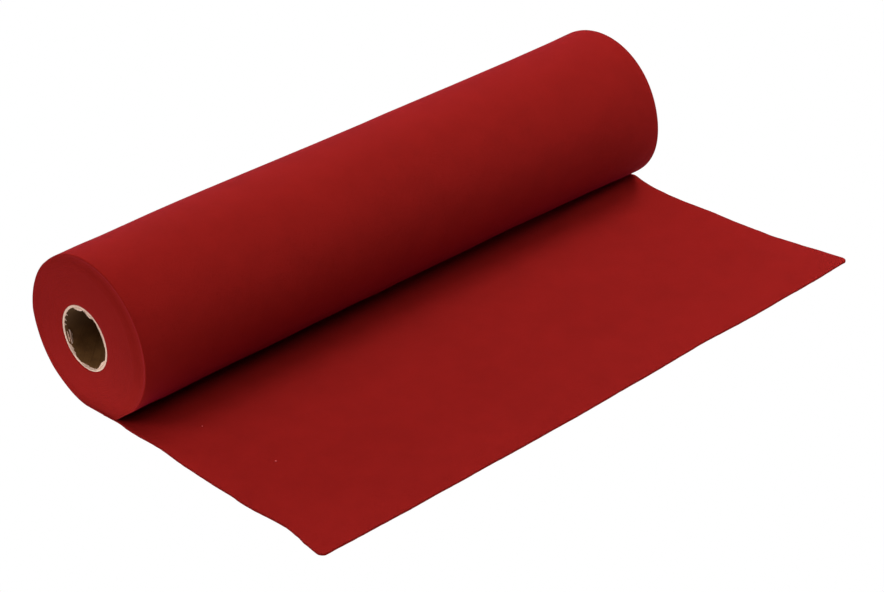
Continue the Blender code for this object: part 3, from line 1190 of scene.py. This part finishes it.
@dataclass
class PaperTube:
    """The tube that the felt is wound on: layers of paper, cut rough and torn at the near mouth."""

    form: TubeForm
    wall: float = 0.0016
    mouth: float = 0.0004  # how far the near end stands out past the solid's, as it's cut askew
    rounding: float = 0.0002  # how far the outside's edges are broken
    rim_bare: float = 0.8  # how pale they are
    far_share: float = 0.6  # how deep the tears are at the far mouth, as a share of the near one's
    far_turn: float = 2.0  # radians by which they are turned
    tear_rag: float = 0.45  # how far a tear's depth varies at random, as a share of it
    tear_waves: Ripple = Ripple((360 / 31, 360 / 53, 360 / 97), (0.4, 2.2, 5.1))  # by degrees
    least_tear: float = 0.00005
    chamfer: float = 0.75  # share of a tear's depth by which it also eats into the cut face
    least_face: float = 0.0005  # how much of the cut face is left at the deepest tear
    liner: float = 0.00016  # thickness of the brown liner, torn back at the mouths
    sides: int = 288
    face_steps: int = 7
    bare_steps: int = 4
    liner_steps: int = 44
    roughness: float = 0.00016  # how far the cut face is uneven
    near_cut: Ripple = Ripple((360 / 5, 360 / 19, 360 / 47, 360 / 83), (1.0, 2.0, 4.1, 2.0))
    far_cut: Ripple = Ripple((360 / 5, 360 / 19, 360 / 47, 360 / 83), (3.0, 2.0, 4.1, 6.0))
    layers: int = 4  # of stock in the wall
    layer_ridge: float = 0.35  # how high each layer's ridge is, as a share of the unevenness
    strip_steps: int = 32  # rows of faces along a torn strip
    strip_sides: int = 12  # columns of faces across it
    strip_rag: float = 0.3  # how far its edges wander, as a share of half its width
    rag_run: float = 6.0  # how long a strip counts as for that
    rag_waves: Ripple = Ripple((1.7, 0.83, 0.41), (0.5, 2.2, 4.0))
    strip_crumple: float = 0.25  # how far it is crumpled, as a share of half its width
    crumple_run: float = 4.0  # how long it counts as for that
    crumple_waves: Ripple = Ripple((1.9, 1.1, 0.7), (0.2, 3.3, 1.7))
    seam_start: float = 0.003  # how far in from the near mouth the seam starts to turn
    seam_lead: float = 0.118  # how far along the tube the liner's seam goes once round
    seam_height: float = 0.00006
    seam_width: float = 0.0009
    # How far in from the near mouth the liner is torn back, by degrees round the tube
    tear: Profile = Profile(
        (0, 8, 16, 25, 33, 39, 49, 56, 59, 70, 85, 95, 99, 104, 111, 117, 122, 128, 140, 150, 290, 296,
         328, 335, 340, 352, 360),
        tenths(13, 14, 3, 3, 4, 11, 15, 11, 3, 3, 3, 4, 2, 4, 2, 5, 4, 5, 3, 1.5, 0.8, 1, 4, 8, 12, 13,
               13),
    )
    # How pale the stock is where the liner is torn back, by degrees round the tube
    tear_bare: Profile = Profile(
        (0, 14, 30, 36, 54, 60, 100, 130, 300, 360), (1.0, 1.0, 0.8, 0.62, 0.62, 0.8, 0.8, 1.0, 1.0, 1.0)
    )
    strips: tuple[TornStrip, ...] = (
        TornStrip((57, 60, 64, 69, 74, 79, 86), tenths(20, 19, 20, 23, 26, 25, 21),
                  tenths(6, 13, 14, 15, 17, 16, 12), tenths(8, 19, 15, 18, 19, 12, 1), 40, 1.0),
        TornStrip((62, 66, 71, 76, 82), tenths(11, 10, 12, 13, 12), tenths(2, 5, 6, 6, 3),
                  tenths(2, 5, 6, 5, 1), 40, 1.0),
        TornStrip((110, 108, 105, 104), tenths(-1, 5, 10, 15), tenths(0, 2, 4, 5), tenths(4, 3, 2, 1),
                  0, 0.8, 0.0002),
        TornStrip((100, 98, 96, 95), tenths(-1, 5, 9, 13), tenths(0, 2, 4, 5), tenths(4, 3, 3, 1),
                  0, 0.8, 0.0002),
        TornStrip((121, 120, 118, 117), tenths(-1, 5, 11, 16), tenths(0, 2, 4, 6), tenths(5, 4, 3, 1),
                  0, 0.8, 0.0002),
        TornStrip((154, 159, 164, 170, 176, 181), tenths(2, 2, 3, 3, 2, 2), tenths(0, 5, 8, 8, 6, 1),
                  tenths(1, 6, 8, 8, 6, 1), 78),
        # Only half pale: painted shade, for the shade that this strip lies in.
        TornStrip((181, 185, 189, 193), tenths(3, 5, 5, 3), tenths(2, 5, 6, 5), tenths(3, 6, 6, 4),
                  70, 0.5),
        TornStrip((191, 196, 201, 205, 209), tenths(0, 1, 1, 1, 0), tenths(4, 7, 7, 4, 1),
                  tenths(4, 8, 8, 4, 1), 84),
        TornStrip((222, 229, 236, 243, 250, 258, 266), tenths(0, 1, 1, 1, 1, 1, 0),
                  tenths(0, 0, 1, 2, 1, 0, 0), tenths(1, 2, 3, 3, 2, 2, 1), 86),
        TornStrip((295, 302, 308, 315, 322, 331), tenths(0, 2, 4, 4, 3, 1), tenths(0, 5, 8, 6, 3, 0),
                  tenths(2, 6, 8, 7, 4, 1), 72, 0.9, 0.0006),
    )

    @property
    def near_end(self) -> float:
        """Where the near mouth is along the roll."""
        return -self.form.half - self.mouth

    @property
    def inside(self) -> float:
        """The radius of the bore."""
        return self.form.radius - self.wall

    def torn_back(self, angle: Array) -> Array:
        """How far the liner is torn back at an angle: its profile, a share more or less by waves.

        Args:
            angle: Angles round the tube, in radians.

        Returns:
            The depth there.
        """
        degrees = np.degrees(angle) % 360
        rag = 1 + self.tear_rag * self.tear_waves.at(degrees)
        return np.maximum(self.tear.at(degrees) * rag, self.least_tear)

    def cut_face(self, angle: Array, radius: Array, cut: Ripple) -> Array:
        """How far a cut end stands in from its mean: waves round it, and a ridge for each layer.

        Args:
            angle: Angles round the tube, in radians.
            radius: Distances from its middle.
            cut: That end's waves, by degrees.

        Returns:
            The distance in, which is less than nothing on a ridge or wave that stands out.
        """
        waves = cut.at(np.degrees(angle))
        count = (self.form.radius - radius) / (self.wall / self.layers)
        return self.roughness * (waves + self.layer_ridge * np.cos(math.tau * count + 2 * waves))

    def build_wall(self, finish: bpy.types.Material) -> bpy.types.Object:
        """The tube's wall, as a closed line carried round its axis on a slow screw.

        The line goes in over the near cut face, along the bare stock, over the torn edge of the
        liner, through the bore, and back over the far cut face and the outside.

        Args:
            finish: The paper's material.

        Returns:
            The piece.
        """
        turn = np.linspace(0.0, math.tau, self.sides + 1)[:, None]
        bare = even_shares(self.bare_steps)[1:]
        near_tear, far_tear = self.torn_back(turn), self.far_share * self.torn_back(turn + self.far_turn)
        start, end = self.near_end + near_tear, self.form.half - far_tear
        stock, out = self.inside + self.liner, self.form.radius - self.rounding
        inner = (stock + self.chamfer * tear for tear in (near_tear, far_tear))
        near_face, far_face = (
            blend(out, np.minimum(edge, out - self.least_face), even_shares(self.face_steps))
            for edge in inner
        )
        near_x = self.near_end + np.maximum(self.cut_face(turn, near_face, self.near_cut), 0.0)
        far_x = self.form.half - np.maximum(self.cut_face(turn, far_face, self.far_cut), 0.0)
        liner_x = blend(start, end, even_shares(self.liner_steps))
        near_rim, far_rim = (
            (np.full_like(turn, x), np.full_like(turn, self.form.radius), self.rim_bare)
            for x in (self.near_end + self.rounding, self.form.half - self.rounding)
        )
        parts = (
            near_rim,
            (near_x, near_face, 1.0),
            (blend(near_x[:, -1:], start, bare), blend(near_face[:, -1:], stock, bare), 1.0),
            (liner_x, self.liner_radius(liner_x, turn), 0.0),
            (blend(end, far_x[:, -1:], bare), blend(stock, far_face[:, -1:], bare), 1.0),
            (far_x[:, ::-1], far_face[:, ::-1], 1.0),
            far_rim,
            near_rim,
        )
        x = np.concatenate([part[0] for part in parts], axis=1)
        radius = np.concatenate([part[1] for part in parts], axis=1)
        marks = [np.full(part[0].shape, part[2]) for part in parts]
        marks[2] = marks[2] * self.tear_bare.at(np.degrees(turn))
        bare_mark = np.concatenate(marks, axis=1)
        screw = turn + math.tau * np.maximum(x - self.near_end - self.seam_start, 0.0) / self.seam_lead
        grain = np.stack([x, turn * self.form.radius + 0 * x], axis=-1)
        work = Patchwork()
        work.add(self.form.place(x, radius, screw), grain, bare_mark)
        return work.build("paper_tube", finish, TUBE_SHARP)

    def liner_radius(self, x: Array, turn: Array) -> Array:
        """The liner's inside: a lapped seam stands in from it by a bell of a fixed height."""
        off = np.minimum(turn, math.tau - turn) * self.form.radius / self.seam_width
        return self.inside - self.seam_height * bell(off) + 0 * x

    def strip(self, strip: TornStrip) -> tuple[Array, Array, Array]:
        """One torn strip, as the inner and the outer skin of a thin leaf.

        Its middle line follows the strip's places. Across that, it leans from the wall by its
        angle, with a crumple of a few waves. It thins to nothing at its ragged outline, by the root
        of 1 less the fourth power of the way across, times 1 less the eighth power of that along.

        Args:
            strip: Its sizes.

        Returns:
            The two skins, and the grain that they share.
        """
        out = even_shares(self.strip_steps)
        knots = tuple(even_shares(len(strip.angles) - 1))
        lines = (strip.angles, strip.depths, strip.stands, strip.halves)
        degrees, depth, stand, half = (Profile(knots, line).at(out) for line in lines)
        angle = np.radians(degrees)
        centre = self.form.place(self.near_end + depth, self.inside - stand, angle)
        inward = np.stack([0 * angle, -np.sin(angle), np.cos(angle)], axis=-1)
        ahead = unit(np.gradient(centre, axis=0))
        level = unit(np.cross(inward, ahead))
        upright = np.cross(ahead, level)
        lean = math.radians(strip.lean)
        wide = (level * math.cos(lean) + upright * math.sin(lean))[:, None]
        thick = (upright * math.cos(lean) - level * math.sin(lean))[:, None]
        run, half, side = out[:, None], half[:, None], np.linspace(-1.0, 1.0, self.strip_sides + 1)[None, :]
        rag = self.rag_waves.at(run * self.rag_run + degrees[0])
        width = half * side * (1 + self.strip_rag * rag * side)
        crumple = self.strip_crumple * half * self.crumple_waves.at(run * self.crumple_run + side)
        rim = np.sqrt((1 - side**4) * (1 - (2 * run - 1) ** 8))
        sheet = centre[:, None] + width[..., None] * wide + crumple[..., None] * thick
        half_thick = (strip.thickness / 2 * rim)[..., None] * thick
        along = np.linalg.norm(centre - centre[0], axis=-1)[:, None]
        grain = np.stack(np.broadcast_arrays(along + strip.angles[0], width), axis=-1)
        return sheet + half_thick, sheet - half_thick, grain

    def build_strips(self, finish: bpy.types.Material) -> bpy.types.Object:
        """All the torn strips at the near mouth, each a closed leaf.

        Args:
            finish: The paper's material.

        Returns:
            The piece.
        """
        work = Patchwork()
        for torn in self.strips:
            inner, outer, grain = self.strip(torn)
            work.add(inner, grain, torn.bare)
            work.add(outer, grain, torn.bare)
        return work.build("torn_paper", finish, SCRAP_SHARP)

    def build(self, finish: bpy.types.Material) -> list[bpy.types.Object]:
        """Makes and dresses the tube and its torn bits.

        Args:
            finish: The paper's material.

        Returns:
            The two pieces.
        """
        tube, torn = self.build_wall(finish), self.build_strips(finish)
        for piece in (tube, torn):
            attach(piece, BODY)
        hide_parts("paper_core")
        return [tube, torn]


@dataclass(frozen=True)
class Fluff:
    """A tangle of loose fibre, by where it lies, how far it spreads and a phase of its own."""

    x: float
    y: float
    spread: float
    phase: float


@dataclass
class Lint:
    """The specks of paler fibre caught on the loose end, each one strand wound into a tangle."""

    under: float  # the height of what they lie on
    fluffs: tuple[Fluff, ...] = (
        Fluff(-0.1941, -0.0614, 0.00034, 0.6),
        Fluff(-0.1901, -0.1209, 0.00048, 2.2),
    )
    strand: float = 0.00007  # the strand's radius
    steps: int = 320
    sides: int = 8
    height: float = 0.35  # how high a tangle is, as a share of its spread
    parting: float = 0.00001
    main: float = 0.6  # the main wave's share of a tangle's spread
    along: tuple[int, int] = (5, 8)  # how often the main and the lesser wave swing along the roll
    across: tuple[int, int] = (7, 4)
    upward: int = 11
    square: tuple[float, float, float] = (0.36, -0.48, 0.80)  # a direction that no strand takes

    def tangle(self, fluff: Fluff) -> Array:
        """One tangle's skin: a circle carried along a closed line.

        The line crosses and recrosses its middle, as two waves of different counts a turn do in each
        direction. Each circle stands square to the line.

        Args:
            fluff: Which one.

        Returns:
            The points, by step along the strand and place round it.
        """
        turn = np.linspace(0.0, math.tau, self.steps + 1)
        shift = fluff.phase
        line = np.stack([
            blend(np.cos(self.along[1] * turn + shift), np.cos(self.along[0] * turn), self.main),
            blend(np.sin(self.across[1] * turn), np.sin(self.across[0] * turn + shift), self.main),
            self.height * (1 + np.sin(self.upward * turn + 2 * shift)),
        ], axis=-1) * fluff.spread
        line = line + (fluff.x, fluff.y, self.under + self.strand + self.parting)
        ahead = np.gradient(line, axis=0)
        ahead[0] = ahead[-1] = ahead[0] + ahead[-1]
        ahead = unit(ahead)
        beside = unit(np.cross(ahead, self.square))
        above = np.cross(ahead, beside)
        around = np.linspace(0.0, math.tau, self.sides + 1)[None, :, None]
        circle = np.cos(around) * beside[:, None] + np.sin(around) * above[:, None]
        return line[:, None] + self.strand * circle

    def build(self, finish: bpy.types.Material) -> bpy.types.Object:
        """Makes and dresses the specks.

        Args:
            finish: The lint's material.

        Returns:
            The piece.
        """
        work = Patchwork()
        for fluff in self.fluffs:
            skin = self.tangle(fluff)
            work.add(skin, skin[..., :2])
        piece = work.build("lint", finish, SCRAP_SHARP)
        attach(piece, BODY)
        return piece


@dataclass(frozen=True)
class View:
    """The photo's camera, by its place, the way it looks and its lens."""

    place: tuple[float, float, float] = (-1.03714, -1.09802, 0.81567)
    yaw: float = -45.197  # degrees
    pitch: float = 28.740
    roll: float = -0.608
    lens: float = 108.08
    sensor: float = 36.0
    sight: float = 50.0  # how far it sees

    def build(self) -> bpy.types.Object:
        """Makes the scene's camera: its back is turned by yaw and pitch, then it rolls about it."""
        yaw, pitch, roll = (math.radians(v) for v in (self.yaw, self.pitch, self.roll))
        back = Vector((math.sin(yaw) * math.cos(pitch), -math.cos(yaw) * math.cos(pitch), math.sin(pitch)))
        level = Vector((0, 0, 1)).cross(back).normalized()
        upright = back.cross(level)
        right = level * math.cos(roll) + upright * math.sin(roll)
        up = upright * math.cos(roll) - level * math.sin(roll)
        data = bpy.data.cameras.new("camera")
        data.sensor_width = self.sensor
        data.lens = self.lens
        data.clip_end = self.sight
        camera = bpy.data.objects.new("camera", data)
        axes = Matrix((right, up, back)).transposed()
        camera.matrix_world = Matrix.Translation(self.place) @ axes.to_4x4()
        bpy.context.scene.collection.objects.link(camera)
        bpy.context.scene.camera = camera
        return camera


@dataclass(frozen=True)
class Softbox:
    """A flat studio light that faces the roll."""

    name: str
    place: tuple[float, float, float]
    size: tuple[float, float]
    power: float
    colour: Colour = (1.0, 1.0, 1.0)
    aim: tuple[float, float, float] = (0.0, -0.05, 0.03)

    def build(self) -> bpy.types.Object:
        """Makes the light, out of the camera's sight."""
        data = bpy.data.lights.new(self.name, "AREA")
        data.shape = "RECTANGLE"
        data.size, data.size_y = self.size
        data.energy = self.power
        data.color = self.colour
        light = bpy.data.objects.new(self.name, data)
        light.location = self.place
        away = Vector(self.place) - Vector(self.aim)
        light.rotation_euler = away.to_track_quat("Z", "Y").to_euler()
        light.visible_camera = False
        bpy.context.scene.collection.objects.link(light)
        return light


@dataclass(frozen=True)
class Studio:
    """A plain white floor and backdrop under soft light."""

    floor_size: float = 12.0
    floor_drop: float = 0.0003  # how far the floor is under the felt that lies on it
    floor_glow: float = 0.82  # how brightly the floor lights the roll
    lights: tuple[Softbox, ...] = (
        Softbox("overhead", (0.0, 0.0, 1.3), (0.7, 0.5), 2.11),
        Softbox("overhead_front", (0.0, -0.6, 1.25), (1.0, 0.5), 4.40),
        Softbox("overhead_back", (0.0, 0.6, 1.25), (1.0, 0.5), 1.68),
        Softbox("back", (0.0, 1.3, 0.7), (1.2, 0.6), 9.77),
        Softbox("far_side", (1.0, 0.0, 1.1), (0.6, 0.6), 10.67),
        Softbox("far_fill", (1.1, -0.5, 0.35), (0.6, 0.4), 0.2),
        Softbox("front", (0.0, -0.8, 0.95), (0.8, 0.2), 0.98),
        Softbox("near_side", (-1.2, 0.3, 0.95), (0.8, 0.8), 6.3),
        Softbox("far_card", (0.42, -0.22, 0.12), (0.25, 0.15), 0.137, aim=(0.15, -0.05, 0.05)),
        Softbox("near_card", (-0.255, -0.005, 0.001), (0.04, 0.13), 0.0181, aim=(-0.255, -0.005, 1.0)),
    )

    def build_floor(self) -> None:
        """A flat floor that looks as white as the backdrop, and lights the roll a little less."""
        half = self.floor_size / 2
        corners = [(-half, -half), (half, -half), (half, half), (-half, half)]
        mesh = bpy.data.meshes.new("floor")
        mesh.from_pydata([(x, y, -self.floor_drop) for x, y in corners], [], [(0, 1, 2, 3)])
        material, bench, shader = start_material(
            "white_floor", 1.0, Base_Color=BLACK, Specular_IOR_Level=0.0, Emission_Color=WHITE
        )
        seen = bench.add("ShaderNodeLightPath", {}).outputs["Is Camera Ray"]
        glow = bench.math("MAXIMUM", seen, self.floor_glow)
        bench.link(glow, shader, "Emission Strength")
        mesh.materials.append(material)
        floor = bpy.data.objects.new("floor", mesh)
        bpy.context.scene.collection.objects.link(floor)

    def build_air(self) -> None:
        """A world that looks white and lights nothing, as a backdrop far behind the floor does."""
        world = bpy.data.worlds.new("room")
        world.use_nodes = True
        bench = NodeBench(world.node_tree)
        shader = world.node_tree.nodes["Background"]
        seen = bench.add("ShaderNodeLightPath", {}).outputs["Is Camera Ray"]
        bench.link(seen, shader, "Strength")
        shader.inputs["Color"].default_value = WHITE
        bpy.context.scene.world = world

    def build(self) -> None:
        """Makes the floor, the air and the lights, and shows colours as they are."""
        self.build_floor()
        self.build_air()
        for light in self.lights:
            light.build()
        bpy.context.scene.view_settings.view_transform = "Standard"
        bpy.context.scene.view_settings.look = "None"


def report(pieces: list[bpy.types.Object]) -> None:
    """Logs each piece's name and how many faces it has."""
    for piece in pieces:
        log.info("%s: %d faces", piece.name, len(piece.data.polygons))


def main() -> None:
    """Builds the camera and studio, then each sub-assembly in order."""
    logging.basicConfig(level=logging.INFO, format="%(name)s: %(message)s")
    View().build()
    Studio().build()
    effects = SurfaceEffects()
    red_felt = FeltFinish().material(effects)
    tube_paper = PaperFinish().material(effects)
    low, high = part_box("paper_core")
    middle = (low + high) / 2
    tube = TubeForm(middle.y, middle.z, (high.z - low.z) / 2, (high.x - low.x) / 2)
    form = RollForm()
    report([WoundFelt(form, tube).build(red_felt)])
    report([LooseFelt(form).build(red_felt)])
    report([Lint(form.felt.thickness).build(LintFinish().material(effects))])
    report(PaperTube(tube).build(tube_paper))
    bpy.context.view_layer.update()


if __name__ == "__main__":
    main()
